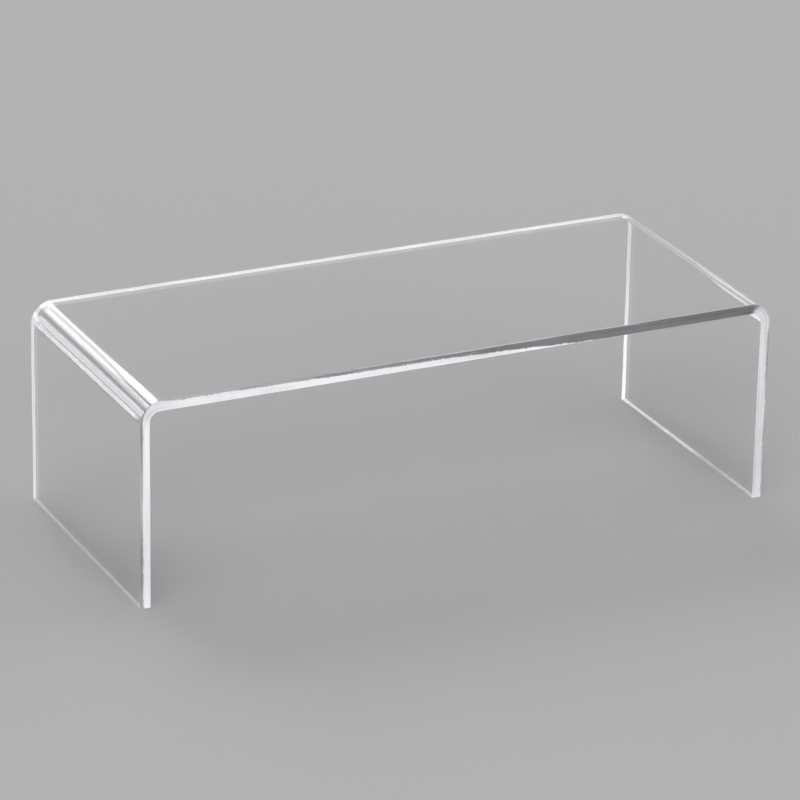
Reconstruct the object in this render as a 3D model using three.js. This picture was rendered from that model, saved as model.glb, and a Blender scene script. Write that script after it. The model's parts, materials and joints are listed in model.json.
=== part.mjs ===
// Shelf riser: one clear acrylic sheet, heated along two lines and bent down at
// both ends into a low open table. Shelf, legs and bends are one unbroken sheet,
// so the object is a single solid.
//
// Millimetres, +Z up, +X along the shelf, +Y across its depth. The origin lies on
// the resting plane, under the middle of the shelf.

import * as THREE from 'three';

const INCH = 25.4;

// Driving dimensions
const riserLength = 12 * INCH;            // over the outer faces of both legs
const riserDepth = 5 * INCH;              // the width that the sheet was cut to
const riserHeight = 3.75 * INCH;          // resting plane to the shelf's upper face
const sheetThickness = (3 / 16) * INCH;   // stock gauge of the sheet
const bendInsideRadius = 4.8;             // the rod that the hot sheet is folded over
const bendStretch = 0.84;                 // extra outside radius where the bend is drawn thin
const bendSteps = 24;                     // flats in each quarter bend

// Derived dimensions
const halfLength = riserLength / 2;
const bendOutsideRadius = bendInsideRadius + sheetThickness + bendStretch;
const legInsideX = halfLength - sheetThickness;
const shelfUndersideZ = riserHeight - sheetThickness;

const QUARTER_TURN = Math.PI / 2;

// The sheet seen edge-on: across X, up Z. The outline runs up the outside from the
// left foot to the right one, and comes back along the inside.
function sheetOutline() {
  const outsideBendX = halfLength - bendOutsideRadius;
  const outsideBendZ = riserHeight - bendOutsideRadius;
  const insideBendX = legInsideX - bendInsideRadius;
  const insideBendZ = shelfUndersideZ - bendInsideRadius;

  const outline = new THREE.Shape();
  outline.moveTo(-halfLength, 0);
  outline.lineTo(-halfLength, outsideBendZ);
  outline.absarc(-outsideBendX, outsideBendZ, bendOutsideRadius, Math.PI, QUARTER_TURN, true);
  outline.lineTo(outsideBendX, riserHeight);
  outline.absarc(outsideBendX, outsideBendZ, bendOutsideRadius, QUARTER_TURN, 0, true);
  outline.lineTo(halfLength, 0);
  outline.lineTo(legInsideX, 0);
  outline.lineTo(legInsideX, insideBendZ);
  outline.absarc(insideBendX, insideBendZ, bendInsideRadius, 0, QUARTER_TURN, false);
  outline.lineTo(-insideBendX, shelfUndersideZ);
  outline.absarc(-insideBendX, insideBendZ, bendInsideRadius, QUARTER_TURN, Math.PI, false);
  outline.lineTo(-legInsideX, 0);
  outline.closePath();
  return outline;
}

// The bent sheet: its outline carried straight across the riser's depth.
function bentSheetGeometry() {
  const geometry = new THREE.ExtrudeGeometry(sheetOutline(), {
    depth: riserDepth,
    steps: 1,
    bevelEnabled: false,
    curveSegments: bendSteps / 2,         // a Shape divides an arc twice as finely
  });
  geometry.rotateX(QUARTER_TURN);         // the outline stands up, its depth runs to -Y
  geometry.translate(0, riserDepth / 2, 0);
  return geometry;
}

const clearAcrylic = new THREE.MeshStandardMaterial({
  color: 0xeef0f6,
  roughness: 0.05,
  metalness: 0,
  transparent: true,
  opacity: 0.3,
});

const bentSheet = new THREE.Mesh(bentSheetGeometry(), clearAcrylic);
bentSheet.name = 'bent_sheet';

const group = new THREE.Group();
group.add(bentSheet);

export default group;
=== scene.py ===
"""Looks of a clear acrylic shelf riser.

One clear sheet, heated along two lines and bent down at both ends. Its broad faces are glossy
and clear, and its cut edges are sanded white and in places polished clear by a flame. The white
edges carry a painted glow, an emission that stands for light carried inside the sheet, and the
flame-polished part of the front edge is painted dark grey, a painted shade. It stands on a pale
studio floor under a soft dome of light. Metres, in the frame of the CAD part.
"""

import json
import logging
import math
from dataclasses import dataclass, field
from enum import Enum, IntEnum
from functools import reduce
from typing import ClassVar

import bpy
from mathutils import Matrix, Vector

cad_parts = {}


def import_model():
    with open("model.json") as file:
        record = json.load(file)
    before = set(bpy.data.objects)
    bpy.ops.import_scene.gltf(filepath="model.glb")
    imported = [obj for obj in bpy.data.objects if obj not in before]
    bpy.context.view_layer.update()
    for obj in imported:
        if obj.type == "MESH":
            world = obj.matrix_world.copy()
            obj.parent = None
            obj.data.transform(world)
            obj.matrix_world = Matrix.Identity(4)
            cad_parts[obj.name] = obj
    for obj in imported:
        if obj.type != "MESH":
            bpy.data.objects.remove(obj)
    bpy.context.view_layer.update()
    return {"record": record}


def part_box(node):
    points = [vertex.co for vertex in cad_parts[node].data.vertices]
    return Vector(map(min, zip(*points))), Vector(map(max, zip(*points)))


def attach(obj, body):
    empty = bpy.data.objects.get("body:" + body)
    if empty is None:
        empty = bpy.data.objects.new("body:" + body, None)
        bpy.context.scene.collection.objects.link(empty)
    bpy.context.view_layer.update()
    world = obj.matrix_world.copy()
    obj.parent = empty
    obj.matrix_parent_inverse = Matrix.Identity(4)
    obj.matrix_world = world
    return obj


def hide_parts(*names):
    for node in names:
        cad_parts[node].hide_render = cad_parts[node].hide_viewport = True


log = logging.getLogger("riser")

MM = 0.001
SHEET_NODE = "bent_sheet"
SHEET_MAP = "sheet"
BODY = "root"
MOST_BOUNCES = 64
MOST_MIRRORINGS = 32

# A pace says how many features a pattern has in a metre along each axis. Stops are pairs of a
# place, from 0 to 1, and the level that holds there.
Colour = tuple[float, float, float, float]
Pace = tuple[float, float, float]
Stops = tuple[tuple[float, float], ...]


class Face(IntEnum):
    """The kinds of face on the sheet, numbered as the mesh's material slots."""

    BROAD = 0
    CUT = 1


class Shade(Enum):
    """Blender's names for the shader nodes that the finishes are made of."""

    COORDINATES = "ShaderNodeTexCoord"
    UV = "ShaderNodeUVMap"
    MAPPING = "ShaderNodeMapping"
    NOISE = "ShaderNodeTexNoise"
    CELLS = "ShaderNodeTexVoronoi"
    RANGE = "ShaderNodeMapRange"
    MIX = "ShaderNodeMix"
    MATHS = "ShaderNodeMath"
    SPLIT = "ShaderNodeSeparateXYZ"
    BUMP = "ShaderNodeBump"
    RAMP = "ShaderNodeValToRGB"
    SURFACE = "ShaderNodeNewGeometry"
    VECTOR = "ShaderNodeVectorMath"
    RAY = "ShaderNodeLightPath"


class Mixed(Enum):
    """What a Mix node mixes: its data type, its first input's number and its output's number."""

    NUMBERS = ("FLOAT", 2, 0)
    PLACES = ("VECTOR", 4, 1)
    COLOURS = ("RGBA", 6, 2)


class Graph:
    """A node tree under construction: adds nodes and links them."""

    def __init__(self, tree: bpy.types.NodeTree) -> None:
        """Keeps the tree that the nodes go into.

        Args:
            tree: the node tree to build in.
        """
        self.tree = tree

    def add(self, kind: str, inputs: dict | None = None, **settings: object) -> bpy.types.Node:
        """Adds a node.

        Args:
            kind: Blender's name for the node type.
            inputs: socket name or number to a value, or to an output that feeds it.
            **settings: the node's own properties.

        Returns:
            The new node.
        """
        node = self.tree.nodes.new(kind)
        for name, value in settings.items():
            setattr(node, name, value)
        for key, value in (inputs or {}).items():
            self.feed(node.inputs[key], value)
        return node

    def feed(self, socket: bpy.types.NodeSocket, value: object) -> None:
        """Links an output to a socket, or sets the socket's own value.

        Args:
            socket: the input to fill.
            value: an output socket, or a plain value.
        """
        if isinstance(value, bpy.types.NodeSocket):
            self.tree.links.new(value, socket)
        else:
            socket.default_value = value

    def maths(self, operation: str, *terms: object) -> bpy.types.NodeSocket:
        """Adds a Math node.

        Args:
            operation: the operation's name, such as "ADD".
            *terms: its numbers or the outputs that give them.

        Returns:
            The node's output.
        """
        return self.add(Shade.MATHS.value, dict(enumerate(terms)), operation=operation).outputs[0]

    def times(self, *terms: object) -> bpy.types.NodeSocket:
        """The product of two or more numbers or outputs."""
        return reduce(lambda product, term: self.maths("MULTIPLY", product, term), terms)

    def rest(self, share: object) -> bpy.types.NodeSocket:
        """What a share leaves of 1."""
        return self.maths("SUBTRACT", 1.0, share)

    def gap(self, value: object, middle: float) -> bpy.types.NodeSocket:
        """How far a value lies from a middle, on either side."""
        return self.maths("ABSOLUTE", self.maths("SUBTRACT", value, middle))

    def vectors(self, operation: str, inputs: dict) -> bpy.types.NodeSocket:
        """Adds a Vector Math node.

        Args:
            operation: the operation's name, such as "ADD".
            inputs: socket name or number to a vector, or to an output that feeds it.

        Returns:
            The node's vector.
        """
        return self.add(Shade.VECTOR.value, inputs, operation=operation).outputs["Vector"]

    def noise(self, place: object, pace: Pace, detail: float) -> bpy.types.NodeSocket:
        """Adds a noise that is stretched by its own pace along each axis.

        Args:
            place: the coordinates, in metres.
            pace: the noise's pace.
            detail: how many finer layers it has.

        Returns:
            The noise, from 0 to 1.
        """
        stretched = self.add(Shade.MAPPING.value, {"Vector": place, "Scale": pace})
        texture = self.add(Shade.NOISE.value, {
            "Vector": stretched.outputs[0],
            "Scale": 1.0,
            "Detail": detail,
        })
        return texture.outputs[0]

    def span(
        self, value: object, low: float, high: float, first: object = 0.0, last: object = 1.0,
    ) -> bpy.types.NodeSocket:
        """Goes smoothly from one level to another while a value crosses a stretch.

        Args:
            value: the value to follow.
            low: where the stretch starts.
            high: where the stretch ends.
            first: the level up to low.
            last: the level from high on.

        Returns:
            The eased value.
        """
        eased = self.add(Shade.RANGE.value, {
            "Value": value,
            "From Min": low,
            "From Max": high,
            "To Min": first,
            "To Max": last,
        }, interpolation_type="SMOOTHSTEP")
        return eased.outputs[0]

    def mix(
        self, kind: Mixed, share: object, first: object, last: object, **settings: object,
    ) -> bpy.types.NodeSocket:
        """Mixes two numbers, places or colours.

        Args:
            kind: which of them are mixed.
            share: 0 for the first and 1 for the last.
            first: the first of the two.
            last: the last of the two.
            **settings: the node's other properties.

        Returns:
            The mixture.
        """
        data_type, socket, output = kind.value
        inputs = {0: share, socket: first, socket + 1: last}
        return self.add(Shade.MIX.value, inputs, data_type=data_type, **settings).outputs[output]

    def relief(self, height: object, **others: object) -> bpy.types.NodeSocket:
        """Adds a Bump node for a height in metres.

        Args:
            height: the height.
            **others: the node's other inputs, by name.

        Returns:
            The normal that the height gives.
        """
        inputs = {"Strength": 1.0, "Distance": 1.0, "Height": height, **others}
        return self.add(Shade.BUMP.value, inputs).outputs["Normal"]

    def ramp(self, value: object, stops: Stops) -> bpy.types.NodeSocket:
        """Reads a level from a few stops, with smooth passages between them.

        Args:
            value: where to read, from 0 to 1.
            stops: the stops, of which there are two or more.

        Returns:
            The level there.
        """
        node = self.add(Shade.RAMP.value, {0: value})
        scale = node.color_ramp
        scale.interpolation = "EASE"
        for place, _ in stops[2:]:
            scale.elements.new(place)
        for element, (place, level) in zip(scale.elements, stops):
            element.position = place
            element.color = (level, level, level, 1.0)
        return node.outputs[0]


@dataclass(frozen=True)
class SheetForm:
    """The sizes of the bent sheet, in metres. Edges sharper than an angle in degrees get an arris."""

    length: float
    depth: float
    height: float
    thickness: float
    inside_radius: float = 4.8 * MM
    bend_stretch: float = 0.84 * MM
    arris: float = 0.3 * MM
    arris_angle: float = 40.0
    arris_steps: int = 3
    bend_steps: int = 48

    @property
    def outside_radius(self) -> float:
        """The outer face's bend radius, larger than an even wall's because the bend is drawn thin."""
        return self.inside_radius + self.thickness + self.bend_stretch

    @property
    def run(self) -> float:
        """The outer face's length along the sheet, from foot to foot."""
        return self.length + 2 * self.height - (4 - math.pi) * self.outside_radius

    @property
    def bend_station(self) -> float:
        """How far the middle of each bend lies from the middle of the shelf, along the outer face."""
        return self.length / 2 - (1 - math.pi / 4) * self.outside_radius

    @classmethod
    def from_frame(cls, record: dict) -> "SheetForm":
        """Reads the sheet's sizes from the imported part.

        Args:
            record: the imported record, whose foot mount lies midway through a leg's wall.

        Returns:
            The form that the part has.
        """
        low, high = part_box(SHEET_NODE)
        size = high - low
        foot = next(m for m in record["mounts"] if m["name"] == "left_foot")
        wall = 2 * (size.x / 2 - abs(foot["pos_m"][0]))
        return cls(length=size.x, depth=size.y, height=size.z, thickness=wall)


class SheetTree:
    """Builds the Geometry Nodes tree that bends a strip of sheet into the riser.

    A face is a cut one where its normal's Y is past SIDEWAYS, or where it lies within FOOT_REACH
    of the floor. Points closer than SEAM are joined.
    """

    OUTLINE_POINTS: ClassVar[int] = 4
    SIDEWAYS: ClassVar[float] = 0.5
    FOOT_REACH: ClassVar[float] = 0.01 * MM
    SEAM: ClassVar[float] = 0.001 * MM

    def __init__(self, name: str) -> None:
        """Makes the empty tree with its named inputs.

        Args:
            name: the tree's name.
        """
        self.tree = bpy.data.node_groups.new(name, "GeometryNodeTree")
        self.graph = Graph(self.tree)
        face = self.tree.interface
        for label in ("Length", "Depth", "Height", "Thickness", "Inside Radius", "Outside Radius"):
            face.new_socket(label, in_out="INPUT", socket_type="NodeSocketFloat")
        face.new_socket("Bend Steps", in_out="INPUT", socket_type="NodeSocketInt")
        for label in ("Broad Face", "Cut Face"):
            face.new_socket(label, in_out="INPUT", socket_type="NodeSocketMaterial")
        face.new_socket("Geometry", in_out="OUTPUT", socket_type="NodeSocketGeometry")
        self.given = self.graph.add("NodeGroupInput").outputs

    def outline(self, half: object, top: object, radius: object) -> bpy.types.NodeSocket:
        """A path up one leg, across the shelf and down the other leg, with round bends.

        Args:
            half: how far each leg's face stands from the middle.
            top: the height of the shelf's face.
            radius: the bends' radius.

        Returns:
            The path, as a curve.
        """
        g = self.graph
        line = g.add("GeometryNodeMeshLine", {"Count": self.OUTLINE_POINTS})
        index = g.add("GeometryNodeInputIndex").outputs[0]
        turn = g.maths("SUBTRACT", index, (self.OUTLINE_POINTS - 1) / 2)
        side = g.maths("SIGN", turn)
        raised = g.maths("LESS_THAN", g.maths("ABSOLUTE", turn), 1.0)
        corner = g.add("ShaderNodeCombineXYZ", {
            "X": g.times(side, half),
            "Z": g.times(raised, top),
        })
        placed = g.add("GeometryNodeSetPosition", {
            "Geometry": line.outputs[0],
            "Position": corner.outputs[0],
        })
        path = g.add("GeometryNodeMeshToCurve", {"Mesh": placed.outputs[0]})
        rounded = g.add("GeometryNodeFilletCurve", {
            "Curve": path.outputs[0],
            "Count": self.given["Bend Steps"],
            "Radius": radius,
        }, mode="POLY")
        return rounded.outputs[0]

    def at_station(self, path: object, value: object, station: object, kind: str) -> object:
        """What a path holds at a station along it.

        Args:
            path: the curve to read.
            value: the field to read on it.
            station: which of its points to read.
            kind: the value's data type.

        Returns:
            The value there.
        """
        sample = self.graph.add("GeometryNodeSampleIndex", {
            "Geometry": path,
            "Value": value,
            "Index": station,
        }, data_type=kind, domain="POINT")
        return sample.outputs[0]

    def build(self) -> bpy.types.NodeTree:
        """Lofts the cut edge between the two paths, carries it across the depth and closes it.

        Returns:
            The finished tree.
        """
        g = self.graph
        given = self.given
        half = g.times(given["Length"], 0.5)
        outer = self.outline(half, given["Height"], given["Outside Radius"])
        inner = self.outline(
            g.maths("SUBTRACT", half, given["Thickness"]),
            g.maths("SUBTRACT", given["Height"], given["Thickness"]),
            given["Inside Radius"],
        )
        stations = g.add("GeometryNodeAttributeDomainSize", {0: outer}, component="CURVE")
        ladder = g.add("GeometryNodeMeshGrid", {
            "Vertices X": stations.outputs["Point Count"],
            "Vertices Y": 2,
        })
        index = g.add("GeometryNodeInputIndex").outputs[0]
        station = g.maths("FLOOR", g.maths("DIVIDE", index, 2.0))
        across = g.maths("MODULO", index, 2.0)
        place = g.add("GeometryNodeInputPosition").outputs[0]
        gone = g.add("GeometryNodeSplineParameter").outputs["Length"]
        inner_place = self.at_station(inner, place, station, "FLOAT_VECTOR")
        outer_place = self.at_station(outer, place, station, "FLOAT_VECTOR")
        front = g.add("ShaderNodeCombineXYZ", {"Y": g.times(given["Depth"], -0.5)})
        cut_edge = g.add("GeometryNodeSetPosition", {
            "Geometry": ladder.outputs["Mesh"],
            "Position": g.mix(Mixed.PLACES, across, inner_place, outer_place),
            "Offset": front.outputs[0],
        })
        marks = g.add("GeometryNodeCaptureAttribute", {"Geometry": cut_edge.outputs[0]})
        marks.domain = "POINT"
        marks.capture_items.new("FLOAT", "along")
        marks.capture_items.new("FLOAT", "across")
        g.feed(marks.inputs["along"], self.at_station(outer, gone, station, "FLOAT"))
        g.feed(marks.inputs["across"], across)
        backward = g.add("GeometryNodeFlipFaces", {"Mesh": marks.outputs["Geometry"]})
        swept = g.add("GeometryNodeExtrudeMesh", {
            "Mesh": backward.outputs[0],
            "Offset": g.add("ShaderNodeCombineXYZ", {"Y": given["Depth"]}).outputs[0],
            "Offset Scale": 1.0,
            "Individual": False,
        }, mode="FACES")
        both = g.add("GeometryNodeJoinGeometry")
        for part in (swept.outputs["Mesh"], marks.outputs["Geometry"]):
            self.tree.links.new(part, both.inputs[0])
        closed = g.add("GeometryNodeMergeByDistance", {
            "Geometry": both.outputs[0],
            "Distance": self.SEAM,
        })
        return self.finish(closed.outputs[0], marks.outputs["along"], marks.outputs["across"])

    def finish(self, solid: object, along: object, across: object) -> bpy.types.NodeTree:
        """Lays the sheet's own coordinates on the solid and gives its faces their finishes.

        The first coordinate is the distance along the outer face from the left foot. The second
        is the place across the wall on a cut edge, and the place across the depth elsewhere.

        Args:
            solid: the closed sheet.
            along: the distance along the sheet, on its points.
            across: 0 on the inner face and 1 on the outer one, on its points.

        Returns:
            The finished tree.
        """
        g = self.graph
        given = self.given
        normal = g.add("ShaderNodeSeparateXYZ", {0: g.add("GeometryNodeInputNormal").outputs[0]})
        point = g.add("ShaderNodeSeparateXYZ", {0: g.add("GeometryNodeInputPosition").outputs[0]})
        sideways = g.maths("GREATER_THAN", g.maths("ABSOLUTE", normal.outputs["Y"]), self.SIDEWAYS)
        near_floor = g.maths("LESS_THAN", point.outputs["Z"], self.FOOT_REACH)
        sawn = g.maths("MAXIMUM", sideways, near_floor)
        wall = g.times(across, given["Thickness"])
        lay = g.mix(Mixed.NUMBERS, sideways, point.outputs["Y"], wall)
        mapped = g.add("GeometryNodeStoreNamedAttribute", {
            "Geometry": solid,
            "Name": SHEET_MAP,
            "Value": g.add("ShaderNodeCombineXYZ", {"X": along, "Y": lay}).outputs[0],
        }, data_type="FLOAT2", domain="CORNER")
        real = g.add("GeometryNodeRealizeInstances", {0: mapped.outputs[0]})
        faced = g.add("GeometryNodeSetMaterial", {
            "Geometry": real.outputs[0],
            "Material": given["Broad Face"],
        })
        edged = g.add("GeometryNodeSetMaterial", {
            "Geometry": faced.outputs[0],
            "Selection": sawn,
            "Material": given["Cut Face"],
        })
        g.add("NodeGroupOutput", {0: edged.outputs[0]})
        return self.tree


@dataclass(frozen=True)
class ClearFace:
    """The finish of the sheet's broad faces: clear and glossy, with a trace of dust and handling.

    The faces wave a little, and the heat has drawn fine lines along the bends. The left bend is
    drawn fuller toward its front end, which turns what it reflects there. The bulge is how far the
    face leans. It starts at its foot, is full at its crown and is gone at its head, all measured
    from the middle of the bend toward the shelf.
    """

    tint: Colour = (0.987, 0.989, 0.993, 1.0)
    refraction: float = 1.49

    smear_pace: Pace = (28, 28, 28)
    smear_range: tuple[float, float] = (0.55, 0.8)
    smear_roughness: float = 0.03

    dust_tint: Colour = (0.80, 0.80, 0.82, 1.0)
    dust_roughness: float = 0.7
    dust_per_metre: float = 110.0
    dust_rarity: float = 0.75
    dust_radius: float = 0.035

    ripple_pace: Pace = (14, 14, 14)
    ripple: float = 0.04 * MM
    heat_pace: Pace = (900, 2, 1)
    heat_line: float = 0.004 * MM
    heat_core: float = 22 * MM / 3
    heat_rim: float = 22 * MM

    bulge: float = 0.34
    bulge_foot: float = -2.6 * MM
    bulge_crown: float = 3.6 * MM
    bulge_head: float = 8.2 * MM

    def make(self, form: SheetForm) -> bpy.types.Material:
        """Builds the material.

        Args:
            form: the sheet's sizes, which say where its bends are.

        Returns:
            The clear acrylic of the broad faces.
        """
        material = bpy.data.materials.new("clear_face")
        material.use_nodes = True
        g = Graph(material.node_tree)
        skin = material.node_tree.nodes["Principled BSDF"]
        skin.inputs["IOR"].default_value = self.refraction
        skin.inputs["Transmission Weight"].default_value = 1.0
        place = g.add(Shade.COORDINATES.value).outputs["Object"]
        dust = self.dust(g, place)
        haze = g.noise(place, self.smear_pace, detail=3)
        smear = g.span(haze, *self.smear_range, 0.0, self.smear_roughness)
        rough = g.maths("MAXIMUM", smear, g.times(dust, self.dust_roughness))
        g.feed(skin.inputs["Roughness"], rough)
        g.feed(skin.inputs["Base Color"], g.mix(Mixed.COLOURS, dust, self.tint, self.dust_tint))
        g.feed(skin.inputs["Normal"], self.relief(g, place, form))
        return material

    def dust(self, g: Graph, place: object) -> bpy.types.NodeSocket:
        """Sparse specks of dust.

        Args:
            g: the material's node graph.
            place: where the point is.

        Returns:
            1 on a speck and 0 elsewhere.
        """
        cell = g.add(Shade.CELLS.value, {"Vector": place, "Scale": self.dust_per_metre})
        chance = g.add(Shade.SPLIT.value, {0: cell.outputs["Color"]}).outputs["X"]
        size = g.span(chance, self.dust_rarity, 1.0, 0.0, self.dust_radius)
        return g.maths("LESS_THAN", cell.outputs["Distance"], size)

    def relief(self, g: Graph, place: object, form: SheetForm) -> bpy.types.NodeSocket:
        """The sheet's slight waviness, the lines of the heat and the left bend's fullness.

        Args:
            g: the material's node graph.
            place: where the point is.
            form: the sheet's sizes.

        Returns:
            The face's normal.
        """
        laid = g.add(Shade.UV.value, uv_map=SHEET_MAP).outputs["UV"]
        axes = g.add(Shade.SPLIT.value, {0: laid}).outputs
        off_middle = g.gap(axes["X"], form.run / 2)
        off_bend = g.gap(off_middle, form.bend_station)
        heat = g.span(off_bend, self.heat_core, self.heat_rim, 1.0, 0.0)
        lines = g.times(g.noise(laid, self.heat_pace, detail=2), heat)
        wave = g.times(g.noise(place, self.ripple_pace, detail=1), self.ripple)
        height = g.maths("ADD", wave, g.times(lines, self.heat_line))
        past_bend = g.maths("SUBTRACT", axes["X"], form.run / 2 - form.bend_station)
        front = g.span(axes["Y"], -form.depth / 2, 0.0, 1.0, 0.0)
        return g.relief(height, Normal=self.drawn(g, past_bend, front))

    def drawn(self, g: Graph, past_bend: object, front: object) -> bpy.types.NodeSocket:
        """The face's direction, with the left bend drawn fuller toward its front end.

        Args:
            g: the material's node graph.
            past_bend: how far the point lies past the middle of the left bend, toward the shelf.
            front: 1 at the front of the riser and 0 from its middle back.

        Returns:
            The normal, which leans toward the leg where the outer face is full.
        """
        surface = g.add(Shade.SURFACE.value).outputs
        facing = g.add(Shade.SPLIT.value, {0: surface["Normal"]}).outputs["X"]
        outer = g.times(g.maths("LESS_THAN", facing, 0.0), g.rest(surface["Backfacing"]))
        swell = g.span(past_bend, self.bulge_foot, self.bulge_crown, 0.0, self.bulge)
        fade = g.span(past_bend, self.bulge_crown, self.bulge_head, 1.0, 0.0)
        lean = g.times(swell, fade, front, outer)
        sideways = g.vectors("SCALE", {0: (-1.0, 0.0, 0.0), "Scale": lean})
        leaning = g.vectors("ADD", {0: surface["Normal"], 1: sideways})
        return g.vectors("NORMALIZE", {0: leaning})


@dataclass(frozen=True)
class CutFace:
    """The finish of the cut edges: sawn white, and in places made clear by the polishing flame.

    The white stretches carry a painted glow, an emission that stands for the light the sheet
    carries to its edges, stronger where an edge is seen through the sheet than from outside. Where
    the flame has made the front edge clear, it is also painted dark grey as seen from outside, a
    painted shade that stands for the dark surroundings that a clear edge shows.

    The stops run along the sheet from its left foot to its right one. On the front edge they say
    how much of the wall the flame has made clear and painted dark, from the outer face in, how soft
    the clear part's border is, how clear and dark it is, how far the arrises stay white and glowing
    in it, a painted highlight along them, and how strong the front's painted glow is, weaker toward
    the right end. The glow through the sheet says how strongly every edge glows when it is seen
    through the sheet. The feet are the first and the last FOOT of that way, as a share of it, and
    have a painted glow of their own.
    """

    FOOT: ClassVar[float] = 0.0005
    MIDDLE: ClassVar[float] = 0.5

    sawn: Colour = (0.96, 0.952, 0.99, 1.0)
    # The dark grey painted on the front edge's flame-polished zone is painted shade, for the dark
    # surroundings a clear edge shows.
    flamed_painted_shade: Colour = (0.115, 0.115, 0.12, 1.0)
    refraction: float = 1.49
    transmission: float = 0.5
    sawn_roughness: float = 0.9
    flamed_roughness: float = 0.15

    # Strengths of the painted glow, an emission on the white edges: front and back seen from outside,
    # seen through the sheet, and at the feet.
    painted_glow_front: float = 0.30
    painted_glow_back: float = 0.15
    painted_glow_inside: float = 0.68
    painted_glow_foot: tuple[float, float] = (0.12, 0.35)
    side_change: float = 1 * MM
    foot_change: float = 15 * MM

    # The front edge's flame-polished zone, painted dark as painted shade, and the arrises in it that keep
    # the white and its painted glow as a painted highlight.
    cleared_painted_shade: Stops = (
        (0.0, 0.30), (0.17, 0.30), (0.20, 0.0), (0.23, 0.20), (0.45, 0.42), (0.70, 1.1),
        (0.786, 1.4), (0.808, 0.0), (0.825, 0.0), (0.84, 0.24), (1.0, 0.12),
    )
    blur: Stops = ((0.0, 0.05), (0.78, 0.05), (0.79, 0.5), (0.81, 0.5), (0.84, 0.1))
    clearness_painted_shade: Stops = ((0.0, 0.7), (0.25, 0.75), (0.6, 1.0), (0.81, 1.0), (0.83, 0.7))
    edging: Stops = ((0.0, 0.0), (0.35, 0.0), (0.5, 0.6), (0.79, 0.6), (0.8, 0.0))
    # The front's painted glow along the sheet, weaker toward the right end, and the painted glow seen
    # through the sheet.
    painted_glow_along_front: Stops = (
        (0.0, 1.0), (0.17, 1.0), (0.19, 0.25), (0.26, 0.73), (0.6, 0.73), (0.8, 0.15), (1.0, 0.3),
    )
    painted_glow_through_sheet: Stops = (
        (0.0, 0.7), (0.19, 0.7), (0.21, 0.83), (0.78, 0.83), (0.8, 0.7), (0.87, 0.7),
        (0.92, 1.0), (1.0, 1.0),
    )
    edging_from: float = 0.52
    edging_full: float = 0.58

    wander_pace: Pace = (160, 400, 1)
    wander: float = 0.2
    nibble_pace: Pace = (1100, 900, 1)
    nibble: float = 0.24

    line_pace: Pace = (30, 900, 1)
    line_range: tuple[float, float] = (0.34, 0.60)
    sawn_grain: float = 0.76
    flamed_grain: float = 0.5
    tick_pace: Pace = (1400, 90, 1)
    tick_range: tuple[float, float] = (0.3, 0.6)
    tick_grain: float = 0.95
    tick_depth: float = 0.4
    saw_line: float = 0.02 * MM

    def make(self, form: SheetForm) -> bpy.types.Material:
        """Builds the material.

        Args:
            form: the sheet's sizes.

        Returns:
            The sanded and flame-polished acrylic of the cut edges, with its painted glow and painted
            shade.
        """
        material = bpy.data.materials.new("cut_edge")
        material.use_nodes = True
        g = Graph(material.node_tree)
        skin = material.node_tree.nodes["Principled BSDF"]
        skin.inputs["IOR"].default_value = self.refraction
        skin.inputs["Transmission Weight"].default_value = self.transmission
        # The painted glow takes the sawn white.
        skin.inputs["Emission Color"].default_value = self.sawn
        laid = g.add(Shade.UV.value, uv_map=SHEET_MAP).outputs["UV"]
        axes = g.add(Shade.SPLIT.value, {0: laid}).outputs
        share = g.maths("DIVIDE", axes["X"], form.run)
        depth = g.rest(g.maths("DIVIDE", axes["Y"], form.thickness))
        place = g.add(Shade.COORDINATES.value).outputs["Object"]
        back = g.add(Shade.SPLIT.value, {0: place}).outputs["Y"]
        # The painted shade shows only on the front edge, seen from outside the sheet.
        inside = g.add(Shade.SURFACE.value).outputs["Backfacing"]
        shown = g.times(g.maths("LESS_THAN", back, 0.0), g.rest(inside))
        flamed_painted_shade = g.times(shown, self.flame(g, laid, share, depth))
        lines = g.noise(laid, self.line_pace, detail=4)
        ticks = g.noise(laid, self.tick_pace, detail=2)
        grain = self.grain(g, lines, ticks, flamed_painted_shade)
        # The flame-polished zone is painted dark grey, a painted shade.
        colour = g.mix(Mixed.COLOURS, flamed_painted_shade, self.sawn, self.flamed_painted_shade)
        streaked = g.mix(Mixed.COLOURS, 1.0, colour, grain, blend_type="MULTIPLY")
        rough = g.span(flamed_painted_shade, 0.0, 1.0, self.sawn_roughness, self.flamed_roughness)
        # The painted glow: an emission on the white stretches, none where the edge is painted dark.
        glow = g.times(self.painted_glow(g, share, back, inside), g.rest(flamed_painted_shade), grain)
        height = g.times(g.maths("ADD", lines, g.times(ticks, self.tick_depth)), self.saw_line)
        g.feed(skin.inputs["Base Color"], streaked)
        g.feed(skin.inputs["Roughness"], rough)
        g.feed(skin.inputs["Emission Strength"], glow)
        g.feed(skin.inputs["Normal"], g.relief(height))
        return material

    def grain(self, g: Graph, lines: object, ticks: object, flamed_painted_shade: object) -> bpy.types.NodeSocket:
        """How the saw's marks darken the edge.

        Args:
            g: the material's node graph.
            lines: the marks that run along the sheet.
            ticks: the short marks across the wall.
            flamed_painted_shade: 1 where the edge is clear and painted dark, and 0 where it is white.

        Returns:
            The share of the edge's brightness that the marks leave.
        """
        faint = g.span(flamed_painted_shade, 0.0, 1.0, self.sawn_grain, self.flamed_grain)
        along = g.span(lines, *self.line_range, faint, 1.0)
        across = g.span(ticks, *self.tick_range, self.tick_grain, 1.0)
        return g.times(along, across)

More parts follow.
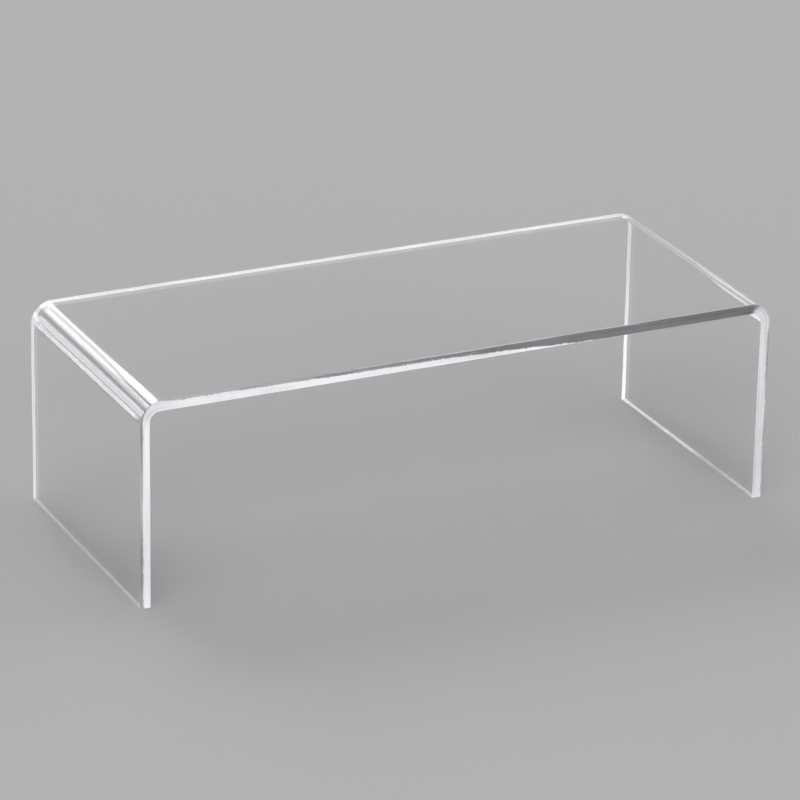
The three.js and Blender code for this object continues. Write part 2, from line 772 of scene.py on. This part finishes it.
    def painted_glow(self, g: Graph, share: object, back: object, inside: object) -> bpy.types.NodeSocket:
        """The painted glow of a white edge, an emission that stands for the light inside the sheet.

        Args:
            g: the material's node graph.
            share: the place along the sheet, from 0 to 1.
            back: the place across its depth, in metres, with the front half below 0.
            inside: 1 where the edge is seen through the sheet and 0 where it is seen from outside.

        Returns:
            The strength of the painted glow.
        """
        front = g.times(g.ramp(share, self.painted_glow_along_front), self.painted_glow_front)
        outer = g.span(back, -self.side_change, self.side_change, front, self.painted_glow_back)
        inner = g.times(g.ramp(share, self.painted_glow_through_sheet), self.painted_glow_inside)
        edge = g.span(inside, 0.0, 1.0, outer, inner)
        faint, strong = self.painted_glow_foot
        right_foot = g.span(back, -self.foot_change, 0.0, faint, strong)
        past_left = g.span(share, self.FOOT / 2, self.FOOT, faint, edge)
        return g.span(share, 1 - self.FOOT, 1 - self.FOOT / 2, past_left, right_foot)

    def flame(self, g: Graph, laid: object, share: object, depth: object) -> bpy.types.NodeSocket:
        """How far the polishing flame has made the saw's white clear, which is also where the painted
        shade goes.

        Args:
            g: the material's node graph.
            laid: the sheet's own coordinates.
            share: the place along the sheet, from 0 to 1.
            depth: the place across the wall, from 0 on the outer face to 1 on the inner one.

        Returns:
            1 where the edge is clear, and painted dark on the front, and 0 where it is still white.
        """
        stray = g.maths("SUBTRACT", g.noise(laid, self.wander_pace, detail=3), self.MIDDLE)
        bite = g.maths("SUBTRACT", g.noise(laid, self.nibble_pace, detail=2), self.MIDDLE)
        uneven = g.maths("ADD", g.times(stray, self.wander), g.times(bite, self.nibble))
        reach = g.maths("ADD", g.ramp(share, self.cleared_painted_shade), uneven)
        border = g.maths("DIVIDE", g.maths("SUBTRACT", depth, reach), g.ramp(share, self.blur))
        clear = g.times(g.span(border, -1.0, 1.0, 1.0, 0.0), g.ramp(share, self.clearness_painted_shade))
        off_middle = g.gap(depth, self.MIDDLE)
        near_arris = g.span(off_middle, self.edging_from, self.edging_full)
        return g.times(clear, g.rest(g.times(near_arris, g.ramp(share, self.edging))))


@dataclass
class BentSheet:
    """The riser: one acrylic sheet bent down at both ends.

    A face turned further than ARRIS_TURN, a cosine, from the broad face beside it is an arris. It
    is laid PAST_BORDER of the wall outside the cut edge. A cut face is flat where its normal lies
    along an axis to within SQUARE_ON.
    """

    ARRIS_TURN: ClassVar[float] = math.cos(math.radians(5))
    PAST_BORDER: ClassVar[float] = 0.1
    SQUARE_ON: ClassVar[float] = 0.999

    form: SheetForm
    broad: ClearFace = field(default_factory=ClearFace)
    cut: CutFace = field(default_factory=CutFace)

    def build(self) -> bpy.types.Object:
        """Builds the sheet's mesh and dresses it.

        Returns:
            The finished piece, riding on the part's body in place of the CAD node.
        """
        shell = self.bend()
        self.arris(shell)
        piece = self.plain(shell)
        self.smooth(piece.data)
        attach(piece, BODY)
        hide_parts(SHEET_NODE)
        return piece

    def bend(self) -> bpy.types.Object:
        """Runs the tree that bends the sheet.

        Returns:
            An object whose modifier makes the sheet.
        """
        tree = SheetTree("bent_sheet_form").build()
        shell = bpy.data.objects.new("sheet_blank", bpy.data.meshes.new("sheet_blank"))
        bpy.context.scene.collection.objects.link(shell)
        modifier = shell.modifiers.new("bend", "NODES")
        modifier.node_group = tree
        values = {
            "Length": self.form.length,
            "Depth": self.form.depth,
            "Height": self.form.height,
            "Thickness": self.form.thickness,
            "Inside Radius": self.form.inside_radius,
            "Outside Radius": self.form.outside_radius,
            "Bend Steps": self.form.bend_steps,
            "Broad Face": self.broad.make(self.form),
            "Cut Face": self.cut.make(self.form),
        }
        for item in tree.interface.items_tree:
            if item.name in values:
                modifier[item.identifier] = values[item.name]
        return shell

    def arris(self, shell: bpy.types.Object) -> None:
        """Takes the sharpness off every cut edge.

        Args:
            shell: the object to add the modifier to.
        """
        bevel = shell.modifiers.new("arris", "BEVEL")
        bevel.width = self.form.arris
        bevel.segments = self.form.arris_steps
        bevel.limit_method = "ANGLE"
        bevel.angle_limit = math.radians(self.form.arris_angle)
        bevel.use_clamp_overlap = True

    def plain(self, shell: bpy.types.Object) -> bpy.types.Object:
        """Turns the modifiers' result into a plain mesh.

        Args:
            shell: the object with its live modifiers, which is removed.

        Returns:
            The plain object.
        """
        graph = bpy.context.evaluated_depsgraph_get()
        mesh = bpy.data.meshes.new_from_object(shell.evaluated_get(graph), depsgraph=graph)
        mesh.name = "riser_sheet"
        mesh.materials.pop(index=0)
        bpy.data.objects.remove(shell)
        piece = bpy.data.objects.new("riser_sheet", mesh)
        bpy.context.scene.collection.objects.link(piece)
        return piece

    def true_normal(self, point: Vector, outside: bool) -> Vector:
        """The exact normal of a broad face.

        Args:
            point: a place on the face.
            outside: whether it is the outer face.

        Returns:
            The unit normal, pointing out of the sheet.
        """
        form = self.form
        wall = 0.0 if outside else form.thickness
        radius = form.outside_radius if outside else form.inside_radius
        centre_x = form.length / 2 - wall - radius
        centre_z = form.height - wall - radius
        if point.z < centre_z:
            away = Vector((math.copysign(1.0, point.x), 0.0, 0.0))
        elif abs(point.x) < centre_x:
            away = Vector((0.0, 0.0, 1.0))
        else:
            away = Vector((math.copysign(abs(point.x) - centre_x, point.x), 0.0, point.z - centre_z))
        return away.normalized() * (1.0 if outside else -1.0)

    def is_outer(self, polygon: bpy.types.MeshPolygon) -> bool:
        """Whether a polygon faces away from the space under the shelf."""
        return polygon.normal.x * polygon.center.x + polygon.normal.z * polygon.center.z > 0

    def face_normal(self, polygon: bpy.types.MeshPolygon, point: Vector) -> Vector:
        """The exact normal, at a point, of the broad face that a polygon belongs to."""
        return self.true_normal(point, self.is_outer(polygon))

    def is_arris(self, polygon: bpy.types.MeshPolygon) -> bool:
        """Whether a polygon is turned too far from the broad face beside it to belong to it."""
        return polygon.normal.dot(self.face_normal(polygon, polygon.center)) < self.ARRIS_TURN

    def lay_arris(self, mesh: bpy.types.Mesh, polygon: bpy.types.MeshPolygon) -> None:
        """Gives an arris coordinates just past the border of the cut edge that it belongs to.

        Args:
            mesh: the sheet's mesh.
            polygon: a face of an arris along a broad face. Those at the feet stay as they are.
        """
        if polygon.center.z < self.form.arris:
            return
        past = self.form.thickness * self.PAST_BORDER
        level = self.form.thickness + past if self.is_outer(polygon) else -past
        for loop in polygon.loop_indices:
            mesh.uv_layers[SHEET_MAP].uv[loop].vector.y = level

    def smooth(self, mesh: bpy.types.Mesh) -> None:
        """Gives the arrises the cut edges' finish, and shades the sheet smooth.

        Args:
            mesh: the sheet's mesh.
        """
        mesh.shade_smooth()
        normals = [v.normal.copy() for v in mesh.vertices]
        for polygon in mesh.polygons:
            if polygon.material_index == Face.BROAD and self.is_arris(polygon):
                polygon.material_index = Face.CUT
                self.lay_arris(mesh, polygon)
            flat = polygon.normal.copy()
            square_on = abs(flat.y) > self.SQUARE_ON or flat.z < -self.SQUARE_ON
            for v in polygon.vertices:
                if polygon.material_index == Face.BROAD:
                    normals[v] = self.face_normal(polygon, mesh.vertices[v].co)
                elif square_on:
                    normals[v] = flat
        mesh.normals_split_custom_set_from_vertices(normals)


@dataclass(frozen=True)
class Floor:
    """The studio floor: a wide disc of matt paper, a hair below the feet."""

    radius: float = 6.0
    sides: int = 64
    gap: float = 0.05 * MM
    colour: Colour = (0.455, 0.455, 0.458, 1.0)
    roughness: float = 0.9

    def build(self) -> bpy.types.Object:
        """Builds the floor.

        Returns:
            The floor.
        """
        turns = [2 * math.pi * side / self.sides for side in range(self.sides)]
        ring = [(self.radius * math.cos(turn), self.radius * math.sin(turn), -self.gap) for turn in turns]
        mesh = bpy.data.meshes.new("floor")
        mesh.from_pydata(ring, [], [range(self.sides)])
        floor = bpy.data.objects.new("floor", mesh)
        bpy.context.scene.collection.objects.link(floor)
        material = bpy.data.materials.new("floor_paper")
        material.use_nodes = True
        skin = material.node_tree.nodes["Principled BSDF"]
        skin.inputs["Base Color"].default_value = self.colour
        skin.inputs["Roughness"].default_value = self.roughness
        skin.inputs["Specular IOR Level"].default_value = 0.0
        mesh.materials.append(material)
        return floor


@dataclass(frozen=True)
class Softbox:
    """A round patch of the dome that is brighter than the rest, with a soft rim.

    Angles are in degrees. The azimuth runs from +Y towards +X, and the elevation up from the floor.
    The core and the rim are the patch's half widths where it starts to fade and where it ends.
    """

    azimuth: float
    elevation: float
    core: float
    rim: float
    strength: float
    tint: tuple[float, float, float] = (1.0, 1.0, 1.0)

    def way(self) -> Vector:
        """The direction of the patch's middle, seen from the riser."""
        turn = math.radians(self.azimuth)
        rise = math.radians(self.elevation)
        level = Vector((math.sin(turn), math.cos(turn), 0.0))
        return math.cos(rise) * level + math.sin(rise) * Vector((0.0, 0.0, 1.0))

    def glow(self, g: Graph, look: object) -> bpy.types.NodeSocket:
        """The light of the patch in a direction.

        Args:
            g: the world's node graph.
            look: the direction.

        Returns:
            The colour to add to the dome's.
        """
        near = g.add(Shade.VECTOR.value, {0: look, 1: self.way()}, operation="DOT_PRODUCT")
        rim = math.cos(math.radians(self.rim))
        core = math.cos(math.radians(self.core))
        level = g.span(near.outputs["Value"], rim, core, 0.0, self.strength)
        return g.vectors("SCALE", {0: self.tint, "Scale": level})


@dataclass(frozen=True)
class SoftDome:
    """The studio's light: an even pale dome with a few soft, brighter patches in it."""

    level: float = 0.45
    softboxes: tuple[Softbox, ...] = (
        Softbox(azimuth=-3, elevation=41, core=17, rim=21, strength=2.9),
        Softbox(azimuth=-36, elevation=3, core=9, rim=13, strength=3.0, tint=(0.93, 0.91, 1.0)),
        Softbox(azimuth=-24, elevation=17, core=4, rim=7, strength=-0.45),
        Softbox(azimuth=35, elevation=8, core=1, rim=3, strength=0.35),
        Softbox(azimuth=85, elevation=28, core=14, rim=26, strength=1.4),
        Softbox(azimuth=-130, elevation=30, core=24, rim=38, strength=1.2),
        Softbox(azimuth=172, elevation=18, core=14, rim=26, strength=1.8),
    )

    def build(self) -> bpy.types.World:
        """Builds the world.

        The patches light the riser and show in it. Where the camera looks past the riser and the
        floor, it sees the plain dome.

        Returns:
            The scene's world.
        """
        world = bpy.data.worlds.new("soft_dome")
        bpy.context.scene.world = world
        world.use_nodes = True
        g = Graph(world.node_tree)
        sky = world.node_tree.nodes["Background"]
        look = g.add(Shade.COORDINATES.value).outputs["Generated"]
        plain = (self.level, self.level, self.level)
        lit = plain
        for softbox in self.softboxes:
            lit = g.vectors("ADD", {0: lit, 1: softbox.glow(g, look)})
        direct = g.add(Shade.RAY.value).outputs["Is Camera Ray"]
        g.feed(sky.inputs["Color"], g.mix(Mixed.COLOURS, direct, lit, (*plain, 1.0)))
        return world


@dataclass(frozen=True)
class Card:
    """A small glowing card behind the riser's right front corner.

    It shows only in light that has passed through the sheet, which gives the inside of the bend
    there a bright spot. Its turn, seen from the corner, is in degrees from +Y towards +X.
    """

    BLACK: ClassVar[Colour] = (0.0, 0.0, 0.0, 1.0)
    WHITE: ClassVar[Colour] = (1.0, 1.0, 1.0, 1.0)

    distance: float = 262 * MM
    turn: float = 31.5
    width: float = 40 * MM
    height: float = 70 * MM
    strength: float = 1.0

    def build(self, corner: Vector) -> bpy.types.Object:
        """Builds the card.

        Args:
            corner: the corner's place on the floor.

        Returns:
            The card.
        """
        turn = math.radians(self.turn)
        middle = corner + self.distance * Vector((math.sin(turn), math.cos(turn), 0.0))
        side = self.width / 2 * Vector((math.cos(turn), -math.sin(turn), 0.0))
        rise = Vector((0.0, 0.0, self.height))
        corners = [middle - side, middle + side, middle + side + rise, middle - side + rise]
        mesh = bpy.data.meshes.new("card")
        mesh.from_pydata(corners, [], [range(len(corners))])
        card = bpy.data.objects.new("card", mesh)
        bpy.context.scene.collection.objects.link(card)
        material = bpy.data.materials.new("lit_card")
        material.use_nodes = True
        skin = material.node_tree.nodes["Principled BSDF"]
        skin.inputs["Base Color"].default_value = self.BLACK
        skin.inputs["Emission Color"].default_value = self.WHITE
        skin.inputs["Emission Strength"].default_value = self.strength
        mesh.materials.append(material)
        card.visible_camera = False
        card.visible_diffuse = False
        card.visible_glossy = False
        card.visible_shadow = False
        return card


@dataclass(frozen=True)
class Viewpoint:
    """The camera: a long lens, from the front left and a little above.

    Its angles are in radians. The slide moves it across its own view, to the right and up.
    """

    lens: float = 207.3
    distance: float = 2.0869
    azimuth: float = 0.44945
    elevation: float = 0.39453
    roll: float = 0.01815
    slide: tuple[float, float] = (0.59 * MM, 44.33 * MM)
    nearest: float = 0.05
    farthest: float = 50.0

    def build(self) -> bpy.types.Object:
        """Places the camera.

        Returns:
            The scene's camera.
        """
        ahead = Vector((
            math.sin(self.azimuth) * math.cos(self.elevation),
            math.cos(self.azimuth) * math.cos(self.elevation),
            -math.sin(self.elevation),
        ))
        level = Vector((math.cos(self.azimuth), -math.sin(self.azimuth), 0.0))
        upright = level.cross(ahead)
        right = math.cos(self.roll) * level + math.sin(self.roll) * upright
        up = math.cos(self.roll) * upright - math.sin(self.roll) * level
        lens = bpy.data.cameras.new("camera")
        lens.lens = self.lens
        lens.clip_start = self.nearest
        lens.clip_end = self.farthest
        camera = bpy.data.objects.new("camera", lens)
        bpy.context.scene.collection.objects.link(camera)
        across, lift = self.slide
        place = -self.distance * ahead + across * right + lift * up
        turn = Matrix((right, up, -ahead)).transposed().to_4x4()
        camera.matrix_world = Matrix.Translation(place) @ turn
        bpy.context.scene.camera = camera
        return camera


def let_light_through() -> None:
    """Lets light pass and mirror in the clear sheet as often as it needs to."""
    cycles = bpy.context.scene.cycles
    cycles.max_bounces = MOST_BOUNCES
    cycles.transmission_bounces = MOST_BOUNCES
    cycles.glossy_bounces = MOST_MIRRORINGS


def main() -> None:
    """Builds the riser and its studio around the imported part."""
    logging.basicConfig(level=logging.INFO, format="%(name)s: %(message)s")
    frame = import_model()
    bpy.context.scene.view_settings.view_transform = "Standard"
    let_light_through()
    Viewpoint().build()
    form = SheetForm.from_frame(frame["record"])
    riser = BentSheet(form).build()
    log.info("built %s, %d faces", riser.name, len(riser.data.polygons))
    Floor().build()
    Card().build(Vector((form.length / 2, -form.depth / 2, 0.0)))
    SoftDome().build()


if __name__ == "__main__":
    main()
